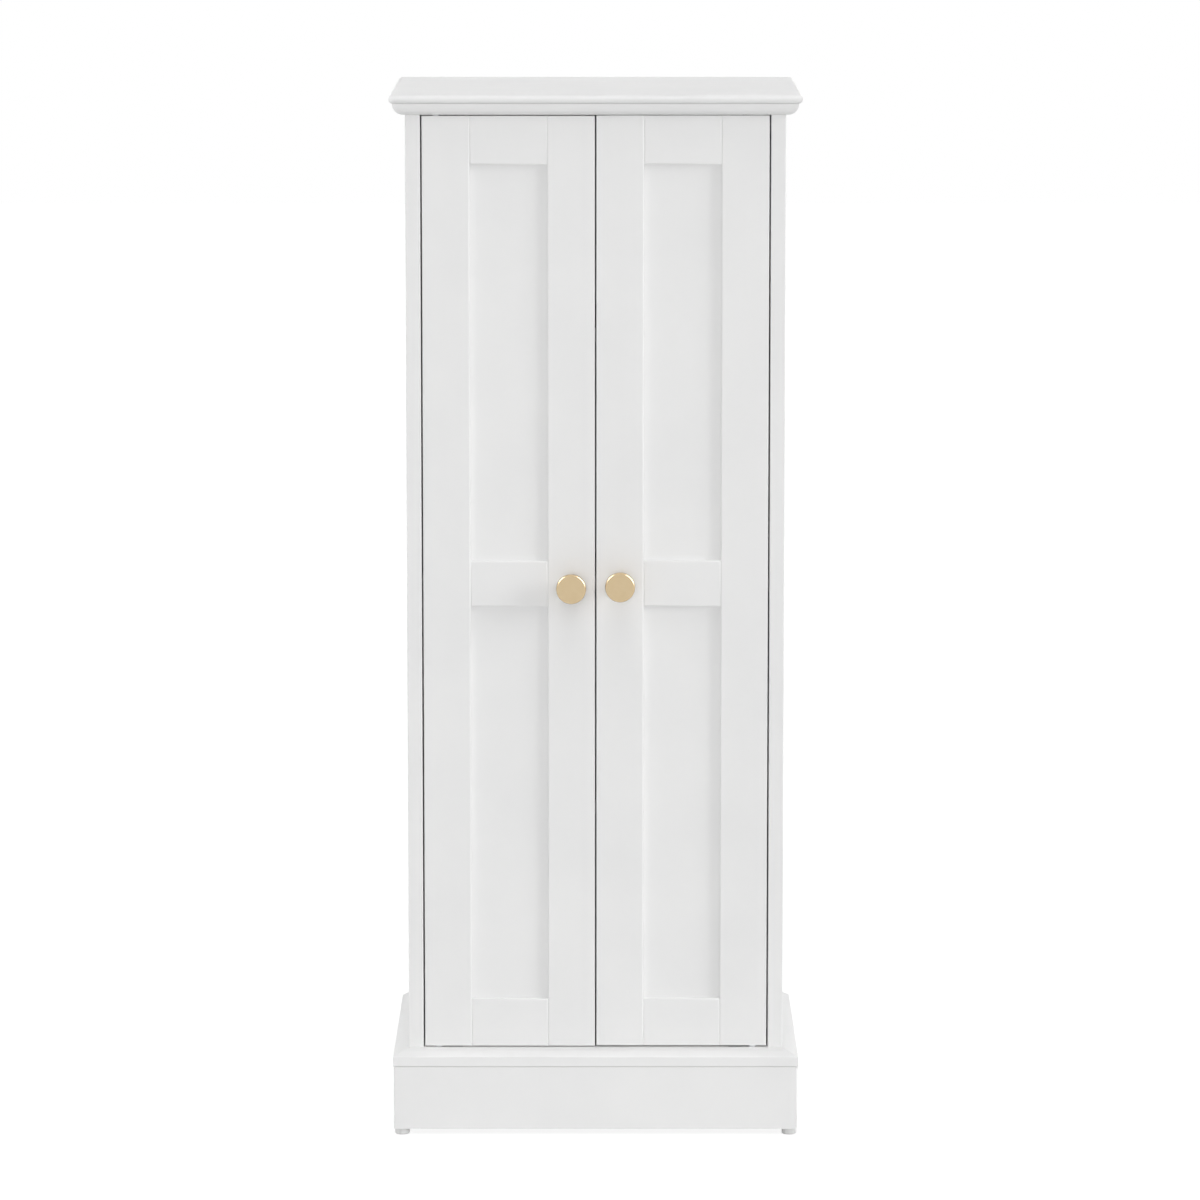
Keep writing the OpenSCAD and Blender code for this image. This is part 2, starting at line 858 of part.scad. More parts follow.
module magnet(gap = 0) {
    grow = 2 * gap;
    translate([-catch_x - magnet_w / 2 - gap, catch_y - gap, z_top - catch_h + magnet_rim - gap])
        cube([magnet_w + grow, catch_d / 2 + magnet_out + grow, magnet_h + grow]);
}

module catch_housings() {
    color(white_plastic) for (side = sides) on_half(side) catch_housing();
}

module catch_magnets() {
    color(steel) for (side = sides) on_half(side) magnet();
}

module catch_screws() {
    color(steel) for (side = sides) on_half(side) catch_screw_places() screw(catch_screw_l);
}

// Door frames. Every door piece is drawn from the door's outer lower front
// corner, with X towards the cabinet's middle, and mirrored for the right door.

// Plan of a stile: grooved and bevelled on its inner edge, eased on the other
module stile_section() {
    b = frame_bevel;
    d = bevel_depth;
    e = door_ease;
    difference() {
        polygon([
            [0, e], [e, 0], [stile_w - b, 0], [stile_w, d],
            [stile_w, door_t], [0, door_t]
        ]);
        translate([stile_w - groove_d, groove_y]) square([groove_d + past, groove_t]);
    }
}

// Side view of the whole door's thickness, eased along its top and bottom
module door_edge_section(low, high) {
    e = door_ease;
    polygon([
        [0, low + e], [e, low], [door_t, low],
        [door_t, high], [e, high], [0, high - e]
    ]);
}

module stile() {
    intersection() {
        linear_extrude(door_h) stile_section();
        across(stile_w) door_edge_section(0, door_h);
    }
}

module outer_stile() {
    difference() {
        stile();
        for (end = [0, 1]) translate([pivot_in, pivot_back, end * door_h])
            mirror([0, 0, end]) {
                translate([0, 0, -past]) linear_extrude(leaf_t + past) leaf_outline(fit_gap);
                cylinder(h = pivot_bite + blind_gap, r = pivot_d / 2 + pin_relief, $fn = 24);
                leaf_screw_places(1) screw_hole(leaf_screw_l);
            }
    }
}

module inner_stile(side) {
    difference() {
        translate([door_w, 0, 0]) mirror([1, 0, 0]) stile();
        knob_place(side) rotate([-90, 0, 0]) translate([0, 0, -past])
            cylinder(h = door_t + 2 * past, r = knob_screw_d / 2 + fit_gap, $fn = 24);
        knob_place(side) translate([0, door_t + past, 0]) rotate([90, 0, 0])
            cylinder(h = knob_sink + past, r = knob_screw_head_d / 2 + fit_gap, $fn = 32);
        strike_place() screw_hole(strike_screw_l);
    }
}

// A rail from height low to high; its bevels and grooves face the panels
module rail(low, high, panel_below, panel_above) {
    b_low = panel_below ? frame_bevel : door_ease;
    b_high = panel_above ? frame_bevel : door_ease;
    d_low = panel_below ? bevel_depth : door_ease;
    d_high = panel_above ? bevel_depth : door_ease;
    b = frame_bevel;
    d = bevel_depth;
    difference() {
        intersection() {
            translate([stile_w, 0, 0]) across(panel_w)
                polygon([
                    [0, low + b_low], [d_low, low], [door_t, low],
                    [door_t, high], [d_high, high], [0, high - b_high]
                ]);
            linear_extrude(door_h) translate([stile_w, 0])
                polygon([[0, d], [b, 0], [panel_w - b, 0], [panel_w, d],
                         [panel_w, door_t], [0, door_t]]);
        }
        if (panel_below) translate([0, groove_y, low - past])
            cube([door_w, groove_t, groove_d + past]);
        if (panel_above) translate([0, groove_y, high - groove_d])
            cube([door_w, groove_t, groove_d + past]);
    }
    tongue_low = panel_below ? low + groove_d : low;
    tongue_high = panel_above ? high - groove_d : high;
    translate([stile_w - tongue_l, panel_recess, tongue_low])
        cube([panel_w + 2 * tongue_l, panel_t, tongue_high - tongue_low]);
}

module door_panel(low, height) {
    edge = groove_d - blind_gap;
    translate([stile_w - edge, panel_recess, low - edge])
        cube([panel_w + 2 * edge, panel_t, height + 2 * edge]);
}

module top_rail() {
    rail(door_h - rail_w, door_h, true, false);
}

module middle_rail() {
    rail(mid_rail_z, upper_panel_z, true, true);
}

module bottom_rail() {
    rail(0, rail_w, false, true);
}

module door_leaves() {
    for (end = [0, 1]) translate([pivot_in, pivot_back, end * door_h])
        mirror([0, 0, end]) difference() {
            linear_extrude(leaf_t) leaf_outline();
            translate([0, 0, -past]) cylinder(h = leaf_t + 2 * past, r = pivot_d / 2);
            leaf_screw_places(1) screw_hole(leaf_screw_l);
        }
}

module door_leaf_screws() {
    for (end = [0, 1]) translate([pivot_in, pivot_back, end * door_h])
        mirror([0, 0, end]) leaf_screw_places(1) screw(leaf_screw_l);
}

// Knobs, on the inner stile beside the middle rail

knob_screw_d = 4;
knob_screw_head_d = 8;
knob_screw_head_t = 2.5;
knob_screw_bite = 10;
knob_sink = 3;

module knob_place(side) {
    middle = mid_rail_z + mid_rail_w / 2 - knob_drop + side * knob_stagger / 2;
    translate([door_w - stile_w / 2, 0, middle]) children();
}

module knob(side) {
    r = knob_d / 2;
    neck_r = knob_neck_d / 2;
    foot_r = knob_foot_d / 2;
    head_low = knob_reach - knob_head_t;
    rim = knob_rim_r;
    foot_t = 3;
    sweep_r = foot_r - neck_r;
    knob_place(side) rotate([90, 0, 0]) difference() {
        rotate_extrude($fn = 96) {
            square([foot_r, foot_t]);
            square([neck_r, knob_reach - rim]);
            difference() {
                translate([0, foot_t]) square([foot_r, sweep_r]);
                translate([foot_r, foot_t + sweep_r]) circle(sweep_r);
            }
            translate([0, head_low + rim]) square([r, knob_head_t - 2 * rim]);
            translate([0, head_low]) square([r - rim, knob_head_t]);
            for (z = [head_low + rim, knob_reach - rim])
                translate([r - rim, z]) circle(rim);
        }
        translate([0, 0, -past])
            cylinder(h = knob_screw_bite + 2 * past, r = knob_screw_d / 2 + fit_gap, $fn = 24);
    }
}

module knob_screw(side) {
    knob_place(side) translate([0, door_t - knob_sink, 0]) rotate([90, 0, 0]) {
        translate([0, 0, -knob_screw_head_t])
            cylinder(h = knob_screw_head_t, r = knob_screw_head_d / 2, $fn = 32);
        cylinder(h = door_t - knob_sink + knob_screw_bite, r = knob_screw_d / 2, $fn = 24);
    }
}

// Strike plates on the backs of the inner stiles, in line with the magnets

strike_screw_l = 11;

module strike_place() {
    translate([door_w - stile_w / 2, door_t + strike_t, strike_z]) rotate([90, 0, 0])
        children();
}

module strike_plate() {
    difference() {
        translate([door_w - stile_w / 2 - strike_w / 2, door_t, strike_z - strike_h / 2])
            cube([strike_w, strike_t, strike_h]);
        strike_place() screw_hole(strike_screw_l);
    }
}

module left_outer_stile() { color(paint) on_door(left) outer_stile(); }
module left_inner_stile() { color(paint) on_door(left) inner_stile(left); }
module left_top_rail() { color(paint) on_door(left) top_rail(); }
module left_middle_rail() { color(paint) on_door(left) middle_rail(); }
module left_bottom_rail() { color(paint) on_door(left) bottom_rail(); }
module left_upper_panel() { color(paint) on_door(left) door_panel(upper_panel_z, upper_panel_h); }
module left_lower_panel() { color(paint) on_door(left) door_panel(rail_w, lower_panel_h); }
module left_door_leaves() { color(steel) on_door(left) door_leaves(); }
module left_leaf_screws() { color(steel) on_door(left) door_leaf_screws(); }
module left_knob() { color(gold) on_door(left) knob(left); }
module left_knob_screw() { color(steel) on_door(left) knob_screw(left); }
module left_strike_plate() { color(zinc) on_door(left) strike_plate(); }
module left_strike_screw() { color(steel) on_door(left) strike_place() screw(strike_screw_l); }

module right_outer_stile() { color(paint) on_door(right) outer_stile(); }
module right_inner_stile() { color(paint) on_door(right) inner_stile(right); }
module right_top_rail() { color(paint) on_door(right) top_rail(); }
module right_middle_rail() { color(paint) on_door(right) middle_rail(); }
module right_bottom_rail() { color(paint) on_door(right) bottom_rail(); }
module right_upper_panel() { color(paint) on_door(right) door_panel(upper_panel_z, upper_panel_h); }
module right_lower_panel() { color(paint) on_door(right) door_panel(rail_w, lower_panel_h); }
module right_door_leaves() { color(steel) on_door(right) door_leaves(); }
module right_leaf_screws() { color(steel) on_door(right) door_leaf_screws(); }
module right_knob() { color(gold) on_door(right) knob(right); }
module right_knob_screw() { color(steel) on_door(right) knob_screw(right); }
module right_strike_plate() { color(zinc) on_door(right) strike_plate(); }
module right_strike_screw() { color(steel) on_door(right) strike_place() screw(strike_screw_l); }

crown_board();
base_board();
left_side_panel();
right_side_panel();
back_panel();
rear_rail();
fixed_shelf();
upper_shelf();
lower_shelf();
upper_shelf_pins();
lower_shelf_pins();
plinth_front();
plinth_left();
plinth_right();
plinth_back();
plinth_blocks();
plinth_screws();
glides();
glide_nails();
cam_discs();
cam_bolts();
dowels();
back_screws();
cabinet_leaves();
cabinet_leaf_screws();
pivot_washers();
catch_housings();
catch_magnets();
catch_screws();
left_outer_stile();
left_inner_stile();
left_top_rail();
left_middle_rail();
left_bottom_rail();
left_upper_panel();
left_lower_panel();
left_door_leaves();
left_leaf_screws();
left_knob();
left_knob_screw();
left_strike_plate();
left_strike_screw();
right_outer_stile();
right_inner_stile();
right_top_rail();
right_middle_rail();
right_bottom_rail();
right_upper_panel();
right_lower_panel();
right_door_leaves();
right_leaf_screws();
right_knob();
right_knob_screw();
right_strike_plate();
right_strike_screw();
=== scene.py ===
# %% [markdown]
# # A tall white bathroom cabinet
#
# In this lesson we dress a finished construction model. The model has every
# board, screw and hinge at its real size, in metres, with hard edges and flat
# colours. We keep its shapes, soften its edges, turn a few small pieces anew
# and give each finish its own procedural material.
#
# The first cell loads that model. Each of its nodes is a mesh object that
# sits at the origin, with its place in its vertices.

# %% Load the construction model
import bpy
import bmesh
import json
import math
from mathutils import Matrix, Vector

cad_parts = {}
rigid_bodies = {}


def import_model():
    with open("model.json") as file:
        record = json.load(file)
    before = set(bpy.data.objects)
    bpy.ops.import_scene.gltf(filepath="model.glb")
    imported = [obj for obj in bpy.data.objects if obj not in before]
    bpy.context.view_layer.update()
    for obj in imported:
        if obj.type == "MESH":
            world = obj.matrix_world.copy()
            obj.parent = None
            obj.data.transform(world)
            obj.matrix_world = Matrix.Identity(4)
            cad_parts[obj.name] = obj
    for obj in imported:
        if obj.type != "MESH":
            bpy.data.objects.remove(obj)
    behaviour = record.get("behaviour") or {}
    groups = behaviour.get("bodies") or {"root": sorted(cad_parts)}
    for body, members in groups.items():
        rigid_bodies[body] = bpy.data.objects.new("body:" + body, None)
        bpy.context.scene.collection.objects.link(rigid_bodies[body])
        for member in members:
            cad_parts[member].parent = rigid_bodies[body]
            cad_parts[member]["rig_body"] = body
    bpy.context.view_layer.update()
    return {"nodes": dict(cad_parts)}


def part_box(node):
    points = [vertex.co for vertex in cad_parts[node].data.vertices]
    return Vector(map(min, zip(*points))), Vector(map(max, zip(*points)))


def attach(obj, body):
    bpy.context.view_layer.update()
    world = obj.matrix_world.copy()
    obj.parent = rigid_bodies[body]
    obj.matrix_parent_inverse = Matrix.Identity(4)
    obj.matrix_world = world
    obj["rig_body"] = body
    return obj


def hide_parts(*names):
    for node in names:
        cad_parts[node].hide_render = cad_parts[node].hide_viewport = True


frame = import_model()
nodes = frame["nodes"]
MM = 0.001

# %% [markdown]
# ## The camera
#
# The photograph was taken from far off with a long lens, a little above the
# cabinet, so that its crown shows as a thin strip. Verticals hardly lean. We
# place a camera on the same line: a long lens, the distance that gives the
# same size, and a small tilt down. The picture is square, so the lens
# sensor's 36 mm span both its width and its height.

# %% The camera
LENS_MM = 181.46
CAMERA_AT = Vector((4.4, -6139.0, 1410.4)) * MM
TILT_DOWN = math.radians(8.191)

camera_data = bpy.data.cameras.new("camera")
camera_data.sensor_width = 36.0
camera_data.lens = LENS_MM
camera_data.clip_end = 60.0
camera = bpy.data.objects.new("camera", camera_data)
camera.location = CAMERA_AT
camera.rotation_euler = (math.pi / 2 - TILT_DOWN, 0.0, 0.0)
bpy.context.scene.collection.objects.link(camera)
bpy.context.scene.camera = camera
bpy.context.scene.view_settings.view_transform = "Standard"
print("camera at", tuple(round(c, 3) for c in camera.location))

# %% [markdown]
# ## The light
#
# The photograph shows a white studio. Most of the light comes from almost
# straight in front and from above, so the doors are even and the sloped edge
# of the base is the brightest strip. One light comes in low from the right:
# each recessed panel has a soft edge of shade along its right side, and the
# knobs' shadows lie to their left. The rim of each knob has a bright arc at
# its upper left and another at its upper right, from two softboxes that do
# nothing else here. The walls are seen at full white by the camera and in
# reflections, and they light the paint much less than that, so that the lamps
# shape it.

# %% The white room
ROOM_LIGHT = 0.28
WHITE = (1.0, 1.0, 1.0, 1.0)


def seen_directly(tree):
    """1 where the ray comes from the camera, a reflection or through glass."""
    path = tree.nodes.new("ShaderNodeLightPath")
    either = tree.nodes.new("ShaderNodeMath")
    either.operation = "MAXIMUM"
    tree.links.new(path.outputs["Is Camera Ray"], either.inputs[0])
    tree.links.new(path.outputs["Is Glossy Ray"], either.inputs[1])
    any_of = tree.nodes.new("ShaderNodeMath")
    any_of.operation = "MAXIMUM"
    tree.links.new(either.outputs[0], any_of.inputs[0])
    tree.links.new(path.outputs["Is Transmission Ray"], any_of.inputs[1])
    return any_of.outputs[0]


world = bpy.data.worlds.new("white_room")
world.use_nodes = True
bpy.context.scene.world = world
room = world.node_tree
background = room.nodes["Background"]
background.inputs["Color"].default_value = WHITE
strength = room.nodes.new("ShaderNodeMapRange")
strength.inputs["To Min"].default_value = ROOM_LIGHT
strength.inputs["To Max"].default_value = 1.0
room.links.new(seen_directly(room), strength.inputs["Value"])
room.links.new(strength.outputs["Result"], background.inputs["Strength"])
print("room light", ROOM_LIGHT)

# %% The lamps
# A sun lamp lights the top and the foot of a tall cabinet alike, and its
# angle is how wide the softbox looks from there. Each lamp: degrees to the
# right of the front, degrees up, width in degrees, strength, and whether it
# lights paint, shows only as a highlight in gloss, or does both.
LAMP_DISTANCE = 4.0
LAMPS = {
    "front_softbox": (-3, 5, 22, 0.86, "paint"),
    "high_softbox": (0, 50, 30, 0.20, "paint"),
    "overhead_softbox": (0, 79, 28, 0.88, "paint"),
    "right_window": (69, 17, 26, 1.20, "both"),
    "left_highlight": (-57, 33, 38, 1.80, "gloss"),
    "right_highlight": (54, 36, 38, 1.80, "gloss"),
    "back_fill": (180, 0, 20, 1.40, "paint"),
    "left_side_fill": (-100, 6, 16, 1.30, "paint"),
    "right_side_fill": (105, 2, 16, 0.50, "paint"),
}
AIM = Vector((0.0, 0.0, 0.55))

for name, (turn, rise, width, power, works_on) in LAMPS.items():
    lamp_data = bpy.data.lights.new(name, "SUN")
    lamp_data.angle = math.radians(width)
    lamp_data.energy = power
    lamp = bpy.data.objects.new(name, lamp_data)
    lamp.visible_diffuse = works_on != "gloss"
    lamp.visible_glossy = works_on != "paint"
    turn, rise = math.radians(turn), math.radians(rise)
    away = Vector((
        math.sin(turn) * math.cos(rise),
        -math.cos(turn) * math.cos(rise),
        math.sin(rise),
    ))
    lamp.location = AIM + away * LAMP_DISTANCE
    lamp.rotation_euler = (-away).to_track_quat("-Z", "Y").to_euler()
    bpy.context.scene.collection.objects.link(lamp)
print("lamps:", ", ".join(LAMPS))

# %% [markdown]
# ## Helpers for materials
#
# Every finish starts from a Principled shader. A number that is the same all
# over the surface is set on the shader's own socket. What varies, such as
# grain, brush marks or the faint ripple of sprayed paint, comes from noise
# that reads Object coordinates, so it stays at its real scale on every piece.

# %% Helpers for materials
def start_material(name, **sockets):
    """A material with a Principled shader, with socket names as keywords."""
    material = bpy.data.materials.new(name)
    material.use_nodes = True
    shader = material.node_tree.nodes["Principled BSDF"]
    for socket, value in sockets.items():
        shader.inputs[socket.replace("_", " ")].default_value = value
    return material, material.node_tree, shader


def place_of(tree, stretch=(1, 1, 1), centre=(0, 0, 0), turn=(0, 0, 0)):
    """Object coordinates, moved, turned and stretched by a Mapping node."""
    coordinates = tree.nodes.new("ShaderNodeTexCoord")
    mapping = tree.nodes.new("ShaderNodeMapping")
    mapping.vector_type = "POINT"
    mapping.inputs["Scale"].default_value = stretch
    mapping.inputs["Rotation"].default_value = turn
    mapping.inputs["Location"].default_value = [
        -c * s for c, s in zip(centre, stretch)
    ]
    tree.links.new(coordinates.outputs["Object"], mapping.inputs["Vector"])
    return mapping.outputs["Vector"]


def noise(tree, where, scale, detail=2.0, roughness=0.5):
    """Cloudy noise with that many waves per metre."""
    cloud = tree.nodes.new("ShaderNodeTexNoise")
    cloud.inputs["Scale"].default_value = scale
    cloud.inputs["Detail"].default_value = detail
    cloud.inputs["Roughness"].default_value = roughness
    tree.links.new(where, cloud.inputs["Vector"])
    return cloud.outputs["Fac"]


def ramp(tree, value, low, high, start=0.0, end=1.0):
    """Colour from low to high as value goes from start to end."""
    blend = tree.nodes.new("ShaderNodeValToRGB")
    blend.color_ramp.elements[0].position = start
    blend.color_ramp.elements[1].position = end
    blend.color_ramp.elements[0].color = (*low, 1.0)
    blend.color_ramp.elements[1].color = (*high, 1.0)
    tree.links.new(value, blend.inputs["Fac"])
    return blend.outputs["Color"]


def spread(tree, value, low, high):
    """A number from low to high as value goes over the middle of a noise."""
    span = tree.nodes.new("ShaderNodeMapRange")
    span.inputs["From Min"].default_value = 0.3
    span.inputs["From Max"].default_value = 0.7
    span.inputs["To Min"].default_value = low
    span.inputs["To Max"].default_value = high
    tree.links.new(value, span.inputs["Value"])
    return span.outputs["Result"]


def bump(tree, height, depth, under=None):
    """Relief of that depth in metres, over another relief if one is given."""
    relief = tree.nodes.new("ShaderNodeBump")
    relief.inputs["Strength"].default_value = 1.0
    relief.inputs["Distance"].default_value = depth
    tree.links.new(height, relief.inputs["Height"])
    if under is not None:
        tree.links.new(under, relief.inputs["Normal"])
    return relief.outputs["Normal"]


finishes = {}

# %% [markdown]
# ## Satin white paint
#
# The boards are fine fibreboard sprayed with white satin paint. Seen close,
# sprayed paint has a soft ripple a couple of millimetres across and a finer
# dust of overspray, and its gloss changes a little from place to place. Its
# white is not quite even either. One image of painted board would do this,
# but noise has no seams and needs no unwrapping.

# %% Satin white paint
PAINT_WHITE = (0.835, 0.835, 0.832)
PAINT_SHADE = (0.812, 0.813, 0.812)


def painted(name, light, shade, roughness, ripple):
    """Sprayed paint: a cloudy white, uneven gloss and a rippled surface."""
    material, tree, shader = start_material(name, IOR=1.46)
    where = place_of(tree)
    clouds = noise(tree, where, 9.0, detail=4.0)
    tree.links.new(ramp(tree, clouds, shade, light, 0.35, 0.65), shader.inputs["Base Color"])
    gloss = noise(tree, where, 34.0, detail=3.0)
    uneven = spread(tree, gloss, roughness - 0.03, roughness + 0.04)
    tree.links.new(uneven, shader.inputs["Roughness"])
    peel = bump(tree, noise(tree, where, 420.0, detail=1.0), ripple)
    dust = bump(tree, noise(tree, where, 2600.0, detail=2.0), ripple * 0.25, peel)
    tree.links.new(dust, shader.inputs["Normal"])
    return material


finishes["white_paint"] = painted("satin_white_paint", PAINT_WHITE, PAINT_SHADE, 0.42, 0.00003)
print("paint", [round(c, 3) for c in PAINT_WHITE])

# %% [markdown]
# ## The painted back board
#
# The thin back is hardboard with one thin coat, so the felt of its fibres
# shows through: short strands in both directions and a duller surface.

# %% The painted back board
BOARD_WHITE = (0.82, 0.82, 0.812)
BOARD_SHADE = (0.77, 0.768, 0.758)


def thin_painted():
    """One thin coat of paint over the felt of hardboard."""
    material, tree, shader = start_material("thin_paint_on_hardboard", IOR=1.46)
    across = noise(tree, place_of(tree, (260, 260, 1400)), 1.0, detail=3.0)
    upright = noise(tree, place_of(tree, (1400, 260, 260)), 1.0, detail=3.0)
    clouds = noise(tree, place_of(tree), 7.0, detail=4.0)
    colour = ramp(tree, clouds, BOARD_SHADE, BOARD_WHITE, 0.35, 0.65)
    tree.links.new(colour, shader.inputs["Base Color"])
    tree.links.new(spread(tree, across, 0.5, 0.62), shader.inputs["Roughness"])
    felt = bump(tree, across, 0.00005)
    tree.links.new(bump(tree, upright, 0.00005, felt), shader.inputs["Normal"])
    return material


finishes["back_board"] = thin_painted()
print("back board", BOARD_WHITE)

# %% [markdown]
# ## Bare wood
#
# The corner blocks in the plinth are planed pine and the dowels are beech.
# Wood is a stack of growth rings cut lengthwise: bands across the grain that
# wander a little. A wave texture bent by noise gives the bands, and noise
# stretched along the grain gives the pores.

# %% Bare wood
# One band of a wave texture is this many metres wide at a scale of 1.
BAND_AT_ONE = 0.31
PINE_LIGHT, PINE_DARK = (0.71, 0.50, 0.28), (0.50, 0.29, 0.12)
BEECH_LIGHT, BEECH_DARK = (0.66, 0.44, 0.26), (0.52, 0.31, 0.16)


def bare_wood(name, light, dark, ring_mm, along):
    """Wood whose grain runs along the axis number along."""
    material, tree, shader = start_material(name, IOR=1.5)
    stretch = [1.0, 1.0, 1.0]
    stretch[along] = 0.06
    where = place_of(tree, stretch)
    rings = tree.nodes.new("ShaderNodeTexWave")
    rings.bands_direction = "DIAGONAL"
    rings.inputs["Scale"].default_value = BAND_AT_ONE / (ring_mm * MM)
    rings.inputs["Distortion"].default_value = 3.0
    rings.inputs["Detail"].default_value = 3.0
    rings.inputs["Detail Scale"].default_value = 1.5
    tree.links.new(where, rings.inputs["Vector"])
    pores = noise(tree, place_of(tree, stretch), 1500.0, detail=3.0)
    mixed = tree.nodes.new("ShaderNodeMath")
    mixed.operation = "MULTIPLY_ADD"
    mixed.inputs[1].default_value = 0.35
    tree.links.new(pores, mixed.inputs[0])
    tree.links.new(rings.outputs["Fac"], mixed.inputs[2])
    colour = ramp(tree, mixed.outputs[0], light, dark, 0.1, 1.2)
    tree.links.new(colour, shader.inputs["Base Color"])
    tree.links.new(spread(tree, pores, 0.55, 0.72), shader.inputs["Roughness"])
    tree.links.new(bump(tree, pores, 0.00008), shader.inputs["Normal"])
    return material


finishes["raw_wood"] = bare_wood("planed_pine", PINE_LIGHT, PINE_DARK, 3.2, 2)
beech = bare_wood("beech", BEECH_LIGHT, BEECH_DARK, 1.6, 0)
print("woods:", finishes["raw_wood"].name, "and", beech.name)

# %% [markdown]
# ## Champagne brass
#
# The knobs are turned and lacquered in a pale champagne gold. Their flat
# faces show a plain tan with hardly any shine, and the rounded rims catch the
# lamps in thin bright arcs. Fine rings from the lathe lie round each axis.
# We draw the rings with a wave texture centred on the knob, and keep the
# lacquer's own gloss in the shader's coat.

# %% Champagne brass
BRASS_TAN = (0.622, 0.490, 0.306)
BRASS_DEEP = (0.588, 0.456, 0.278)
LATHE_MARKS = 0.000004


def turned_brass(name, centre):
    """Lathe-turned brass with its rings round a line along Y at centre."""
    material, tree, shader = start_material(
        name, Metallic=1.0, Coat_Weight=0.25, Coat_Roughness=0.10
    )
    where = place_of(tree, centre=centre)
    rings = tree.nodes.new("ShaderNodeTexWave")
    rings.wave_type = "RINGS"
    rings.rings_direction = "Y"
    rings.inputs["Scale"].default_value = 900.0
    rings.inputs["Distortion"].default_value = 1.2
    rings.inputs["Detail"].default_value = 2.0
    tree.links.new(where, rings.inputs["Vector"])
    stain = noise(tree, where, 160.0, detail=3.0)
    colour = ramp(tree, stain, BRASS_DEEP, BRASS_TAN, 0.3, 0.7)
    tree.links.new(colour, shader.inputs["Base Color"])
    tree.links.new(spread(tree, stain, 0.19, 0.26), shader.inputs["Roughness"])
    fine = bump(tree, rings.outputs["Fac"], LATHE_MARKS)
    tree.links.new(bump(tree, stain, LATHE_MARKS, fine), shader.inputs["Normal"])
    return material


print("brass", BRASS_TAN)


# %% [markdown]
# ## Zinc plate, cast zinc and white plastic
#
# The hinge leaves, washers, pins and screws have bright zinc plate: a cool
# grey metal with faint cloudy patches and fine rolling lines. The cam discs
# and strike plates are dull cast zinc, darker and grainy. The catch magnets
# are dark ground steel. The glides and catch housings are moulded nylon,
# whose skin has a fine even spark texture.

# %% Zinc plate, cast zinc and white plastic
def metal(name, light, dark, roughness, patch_scale, grain, grain_depth):
    """Plated or cast metal with cloudy patches and a stretched fine grain."""
    material, tree, shader = start_material(name, Metallic=1.0)
    patches = noise(tree, place_of(tree), patch_scale, detail=4.0)
    lines = noise(tree, place_of(tree, grain), 1.0, detail=2.0)
    tree.links.new(ramp(tree, patches, dark, light, 0.3, 0.7), shader.inputs["Base Color"])
    uneven = spread(tree, patches, roughness - 0.06, roughness + 0.08)
    tree.links.new(uneven, shader.inputs["Roughness"])
    tree.links.new(bump(tree, lines, grain_depth), shader.inputs["Normal"])
    return material


def moulded_plastic(name, colour):
    """Plain nylon with a spark-textured skin."""
    material, tree, shader = start_material(name, IOR=1.53)
    where = place_of(tree)
    clouds = noise(tree, where, 60.0)
    tint = tuple(c * 0.96 for c in colour)
    tree.links.new(ramp(tree, clouds, tint, colour, 0.3, 0.7), shader.inputs["Base Color"])
    spark = noise(tree, where, 3800.0, detail=1.0)
    tree.links.new(spread(tree, spark, 0.46, 0.58), shader.inputs["Roughness"])
    tree.links.new(bump(tree, spark, 0.00002), shader.inputs["Normal"])
    return material


finishes["steel"] = metal(
    "bright_zinc_plate", (0.72, 0.73, 0.745), (0.58, 0.60, 0.62), 0.30, 90.0,
    (300, 2600, 2600), 0.000012,
)
finishes["zinc"] = metal(
    "cast_zinc", (0.60, 0.59, 0.565), (0.46, 0.455, 0.44), 0.48, 220.0,
    (1700, 1700, 1700), 0.00003,
)
magnet_steel = metal(
    "dark_magnet_steel", (0.34, 0.34, 0.35), (0.24, 0.24, 0.25), 0.40, 150.0,
    (400, 3000, 3000), 0.00002,
)
finishes["white_plastic"] = moulded_plastic("white_nylon", (0.68, 0.68, 0.675))
print("finishes:", sorted(finishes))

# %% [markdown]
# ## Softened boards
#
# A painted board never ends in a razor edge: sanding and paint leave a tiny
# round that catches the light. The construction model has hard edges, so we
# take a copy of each board, merge its loose triangles, join those that lie in
# one plane, and bevel the long sharp edges by a third of a millimetre. The
# rims of screw and pin holes stay crisp, because only long edges are chosen.
# A Weighted Normal modifier keeps the flat faces flat. Some operators leave
# vertices and faces in an order that changes from run to run, so each mesh is
# sorted by place before it is written.

# %% Softened boards
MERGE_GAP = 0.000002
PLANAR = math.radians(0.4)
SHARP = math.radians(27)
CREASE = math.radians(50)
ORDER_DIGITS = 6
BOARD_ROUND = 0.30 * MM
BACK_ROUND = 0.20 * MM
BOARD_EDGE = 4.0 * MM
SMALL_EDGE = 0.25 * MM
MAGNET_ROUND = 0.15 * MM


def put_in_order(mesh_edit):
    """Sorts the elements by place, so that each run writes the same mesh."""
    for sequence, place in (
        (mesh_edit.verts, lambda vert: vert.co),
        (mesh_edit.edges, lambda edge: edge.verts[0].co + edge.verts[1].co),
        (mesh_edit.faces, lambda face: face.calc_center_median()),
    ):
        ranked = sorted(
            sequence, key=lambda part: [round(c, ORDER_DIGITS) for c in place(part)]
        )
        for rank, part in enumerate(ranked):
            part.index = rank
        sequence.sort()


